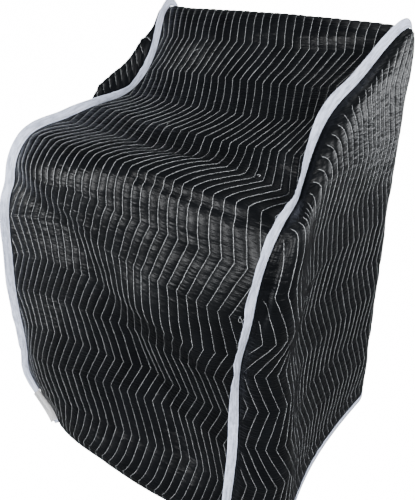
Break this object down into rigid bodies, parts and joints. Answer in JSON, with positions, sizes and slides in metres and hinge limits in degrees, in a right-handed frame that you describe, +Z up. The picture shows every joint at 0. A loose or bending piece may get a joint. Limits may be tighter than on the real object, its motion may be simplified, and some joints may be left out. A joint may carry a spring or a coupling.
{
  "type": "appliance cover",
  "caption": "Quilted fabric cover for a floor appliance with a raised back: one long strip, two side panels, bound seams and an open bottom.",
  "frame": {"origin": "centre of the bounding box in the plane of the lowest hem", "axes": "+Z up, -Y towards the front of the covered appliance, +X towards its right side as seen from the front"},
  "size_m": [0.9422, 0.837, 1.2474],
  "materials": {
    "pad_cloth": "black woven polyester, quilted in zigzag lines",
    "binding": "light grey woven binding tape",
    "label": "blank white woven label"
  },
  "bodies": {
    "root": {"centre_panel": "pad_cloth", "side_left": "pad_cloth", "side_right": "pad_cloth", "seam_tape_left": "binding", "seam_tape_right": "binding", "hem_tape_left": "binding", "hem_tape_right": "binding", "label": "label"}
  },
  "joints": []
}
